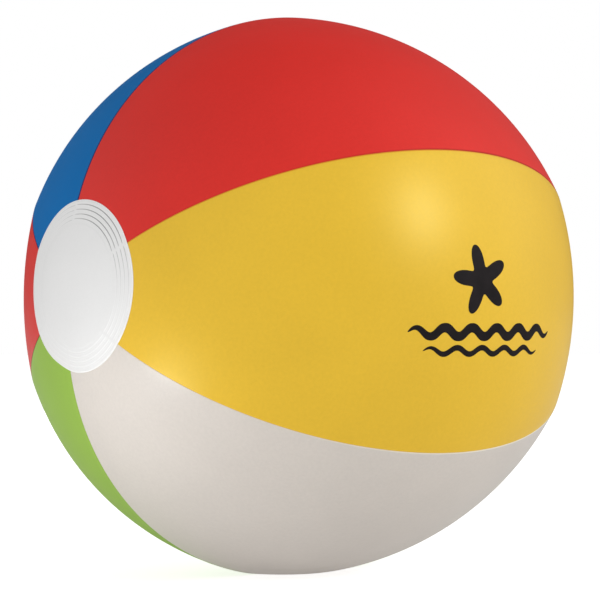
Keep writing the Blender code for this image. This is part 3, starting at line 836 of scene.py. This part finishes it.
def ink_material():
    mat, nt, sh = principled("print_ink")
    co = node(nt, "ShaderNodeTexCoord").outputs["Object"]
    fine = noise(nt, co, 1800.0, 2.0)
    wide = noise(nt, co, 160.0, 2.0)
    base = mix_colour(nt, ramp(nt, wide, 0.3, 0.7), linear((19, 14, 16)), linear((29, 23, 25)))
    nt.links.new(base, sh.inputs["Base Color"])
    nt.links.new(ramp(nt, fine, 0.25, 0.75, 0.50, 0.60), sh.inputs["Roughness"])
    sh.inputs["Specular IOR Level"].default_value = 0.14
    b = node(nt, "ShaderNodeBump")
    b.inputs["Strength"].default_value = 0.12
    b.inputs["Distance"].default_value = 0.00004
    nt.links.new(fine, b.inputs["Height"])
    nt.links.new(b.outputs["Normal"], sh.inputs["Normal"])
    return mat


def build_print():
    """A plain seaside motif: a starfish over two wave lines."""
    ink = ink_material()
    # starfish: five rounded arms
    cu, cv, size = 0.0050, 0.0096, 0.0158
    pts = []
    for i in range(240):
        a = 2 * pi * i / 240
        c = 0.5 + 0.5 * cos(5 * a)
        r = size * (0.40 + 0.60 * c ** 1.15)
        b = a + pi / 2 + radians(12)
        pts.append((cu + r * cos(b), cv + r * sin(b)))
    stamp("print_starfish", pts, ink)
    for j, (u0, u1, v, amp, thick, waves) in enumerate(((-0.033, 0.055, -0.0130, 0.0019, 0.0041, 6),
                                                         (-0.025, 0.045, -0.0212, 0.0014, 0.0025, 5))):
        top, low = [], []
        for i in range(141):
            f = i / 140
            u = u0 + (u1 - u0) * f
            w = amp * sin(2 * pi * waves * f)
            slope = amp * 2 * pi * waves / (u1 - u0) * cos(2 * pi * waves * f)
            taper = min(1.0, 6 * f, 6 * (1 - f)) ** 0.5
            th = thick / 2 * max(taper, 0.06) * sqrt(1 + slope * slope)
            top.append((u, v + w + th))
            low.append((u, v + w - th))
        stamp("print_wave_%d" % (j + 1), top + low[::-1], ink)


# ---------------------------------------------------------------- stage, camera and light
def aim(ob, target):
    d = Vector(target) - ob.location
    ob.rotation_euler = d.to_track_quat("-Z", "Y").to_euler()


def area(name, location, target, size, power, colour=(1, 1, 1), size_y=None, spread=180.0):
    data = bpy.data.lights.new(name, "AREA")
    data.energy = power
    data.color = colour
    data.shape = "RECTANGLE" if size_y else "DISK"
    data.size = size
    if size_y:
        data.size_y = size_y
    data.spread = radians(spread)
    ob = bpy.data.objects.new(name, data)
    ob.location = location
    bpy.context.scene.collection.objects.link(ob)
    aim(ob, target)
    return ob


def build_camera():
    az, el = radians(-36.002), radians(-0.902)
    back = Vector((sin(az) * cos(el), -cos(az) * cos(el), sin(el)))
    dist = 8.5 * RE
    cam = bpy.data.cameras.new("camera")
    cam.sensor_width = 36.0
    focal_px = 1.01291 * 8.5 * 275.0
    cam.lens = focal_px / 600.0 * 36.0
    cam.shift_x = 2.309 / 600.0
    cam.shift_y = -2.607 / 600.0
    cam.clip_start, cam.clip_end = 0.05, 50.0
    ob = bpy.data.objects.new("camera", cam)
    ob.location = Vector(CENTRE) + back * dist
    right = Vector((cos(az), sin(az), 0.0))
    up = back.cross(right)
    rot = Matrix((right, up, back)).transposed()
    ob.rotation_euler = rot.to_euler()
    bpy.context.scene.collection.objects.link(ob)
    bpy.context.scene.camera = ob
    return back


def build_stage():
    n = 96
    verts = [(0.0, 0.0, 0.0)]
    faces = []
    radii = [0.3, 0.8, 2.0, 5.0, 12.0]
    for r in radii:
        verts += [(r * cos(2 * pi * i / n), r * sin(2 * pi * i / n), 0.0) for i in range(n)]
    for i in range(n):
        faces.append((0, 1 + i, 1 + (i + 1) % n))
    for k in range(len(radii) - 1):
        for i in range(n):
            a, b = 1 + k * n + i, 1 + k * n + (i + 1) % n
            faces.append((a, a + n, b + n, b))
    floor = mesh_object("studio_floor", verts, faces, 0)
    mat, nt, sh = principled("studio_floor")
    co = node(nt, "ShaderNodeTexCoord").outputs["Object"]
    soft = noise(nt, co, 6.0, 2.0)
    base = mix_colour(nt, ramp(nt, soft, 0.3, 0.7), (0.49, 0.49, 0.49), (0.51, 0.51, 0.508))
    nt.links.new(base, sh.inputs["Base Color"])
    sh.inputs["Emission Color"].default_value = (1.0, 0.995, 0.985, 1.0)
    path = node(nt, "ShaderNodeLightPath")
    across = node(nt, "ShaderNodeVectorMath", operation="DOT_PRODUCT")
    nt.links.new(co, across.inputs[0])
    across.inputs[1].default_value = (cos(radians(VIEW_AZ)), sin(radians(VIEW_AZ)), 0.0)
    glow = ramp(nt, across.outputs["Value"], -0.25, 0.25, FLOOR_GLOW[0], FLOOR_GLOW[1])
    # the ball's own reflections see less of this glow
    soft_glow = node(nt, "ShaderNodeMath", operation="MULTIPLY_ADD")
    nt.links.new(path.outputs["Is Glossy Ray"], soft_glow.inputs[0])
    soft_glow.inputs[1].default_value = -0.60
    soft_glow.inputs[2].default_value = 1.0
    shown = node(nt, "ShaderNodeMath", operation="MULTIPLY")
    nt.links.new(glow, shown.inputs[0])
    nt.links.new(soft_glow.outputs[0], shown.inputs[1])
    pick = node(nt, "ShaderNodeMix", data_type="FLOAT")
    nt.links.new(path.outputs["Is Camera Ray"], pick.inputs[0])
    nt.links.new(shown.outputs[0], pick.inputs[2])
    pick.inputs[3].default_value = 0.80
    nt.links.new(pick.outputs[0], sh.inputs["Emission Strength"])
    sh.inputs["Roughness"].default_value = 0.8
    sh.inputs["Specular IOR Level"].default_value = 0.1
    floor.data.materials.append(mat)

    world = bpy.data.worlds.new("studio")
    bpy.context.scene.world = world
    world.use_nodes = True
    nt = world.node_tree
    nt.nodes.clear()
    out = node(nt, "ShaderNodeOutputWorld")
    mix = node(nt, "ShaderNodeMixShader")
    seen = node(nt, "ShaderNodeBackground")
    fill = node(nt, "ShaderNodeBackground")
    seen.inputs["Color"].default_value = (1, 1, 1, 1)
    seen.inputs["Strength"].default_value = 1.0
    fill.inputs["Color"].default_value = (1.0, 0.998, 0.992, 1)
    fill.inputs["Strength"].default_value = 0.0
    co = node(nt, "ShaderNodeTexCoord").outputs["Generated"]
    total = None
    for around, height, level in SOFT_LIGHTS:
        a, e = radians(around + VIEW_AZ), radians(height)
        dot = node(nt, "ShaderNodeVectorMath", operation="DOT_PRODUCT")
        dot.inputs[1].default_value = (sin(a) * cos(e), -cos(a) * cos(e), sin(e))
        nt.links.new(co, dot.inputs[0])
        above = node(nt, "ShaderNodeMath", operation="MAXIMUM")
        nt.links.new(dot.outputs["Value"], above.inputs[0])
        above.inputs[1].default_value = 0.0
        power = node(nt, "ShaderNodeMath", operation="POWER")
        nt.links.new(above.outputs[0], power.inputs[0])
        power.inputs[1].default_value = 4.0
        add = node(nt, "ShaderNodeMath", operation="MULTIPLY_ADD")
        nt.links.new(power.outputs[0], add.inputs[0])
        add.inputs[1].default_value = level
        add.inputs[2].default_value = 0.0
        if total is not None:
            nt.links.new(total, add.inputs[2])
        total = add.outputs[0]
    path = node(nt, "ShaderNodeLightPath")
    # reflections see a dimmer room behind the ball
    a = radians(180 + VIEW_AZ)
    rear = node(nt, "ShaderNodeVectorMath", operation="DOT_PRODUCT")
    rear.inputs[1].default_value = (sin(a), -cos(a), 0.0)
    nt.links.new(co, rear.inputs[0])
    glossy = node(nt, "ShaderNodeMix", data_type="FLOAT")
    nt.links.new(path.outputs["Is Glossy Ray"], glossy.inputs[0])
    glossy.inputs[2].default_value = 1.0
    nt.links.new(ramp(nt, rear.outputs["Value"], -0.10, 0.55, 1.0, REAR_GLOSS), glossy.inputs[3])
    level = node(nt, "ShaderNodeMath", operation="MULTIPLY")
    nt.links.new(total, level.inputs[0])
    nt.links.new(glossy.outputs[0], level.inputs[1])
    nt.links.new(level.outputs[0], fill.inputs["Strength"])
    nt.links.new(path.outputs["Is Camera Ray"], mix.inputs["Fac"])
    nt.links.new(fill.outputs[0], mix.inputs[1])
    nt.links.new(seen.outputs[0], mix.inputs[2])
    nt.links.new(mix.outputs[0], out.inputs["Surface"])


VIEW_AZ = -36.0
FLOOR_GLOW = (0.53, 0.20)
REAR_GLOSS = 0.20
# wide soft sources: bearing from the front towards the right, height, level
SOFT_LIGHTS = ((0, 12, 0.33), (98, 13, 0.72), (138, 12, 0.72), (240, 12, 1.00), (312, 12, 0.74),
               (100, 35, 0.42), (30, 58, 0.46), (300, 58, 0.24))


def build_lights():
    c = Vector(CENTRE)
    # main softbox, ahead and above to the right
    area("key_softbox", c + Vector((-0.0241, -0.1239, 0.0345)) + 1.5 * Vector((0.333, -0.851, 0.406)), c, 0.42, 8.0)
    # low light card on the floor at the left
    low = area("low_card", (-0.250, -0.040, 0.011), (-0.109, -0.0525, 0.074), 0.105, 0.023, spread=70.0)
    low.visible_camera = False
    # wide fill for the far side
    a = radians(VIEW_AZ + 195)
    back = area("rear_fill", c + Vector((sin(a) * 2.0, -cos(a) * 2.0, 0.9)), c, 2.2, 18.0)
    back.visible_glossy = False
    back.visible_camera = False


def main():
    build_camera()
    build_stage()
    build_lights()
    build_gores()
    build_discs()
    build_valve()
    build_print()
    bpy.context.scene.view_settings.view_transform = "Standard"
    bpy.context.scene.view_settings.look = "None"
    bpy.context.view_layer.update()


main()
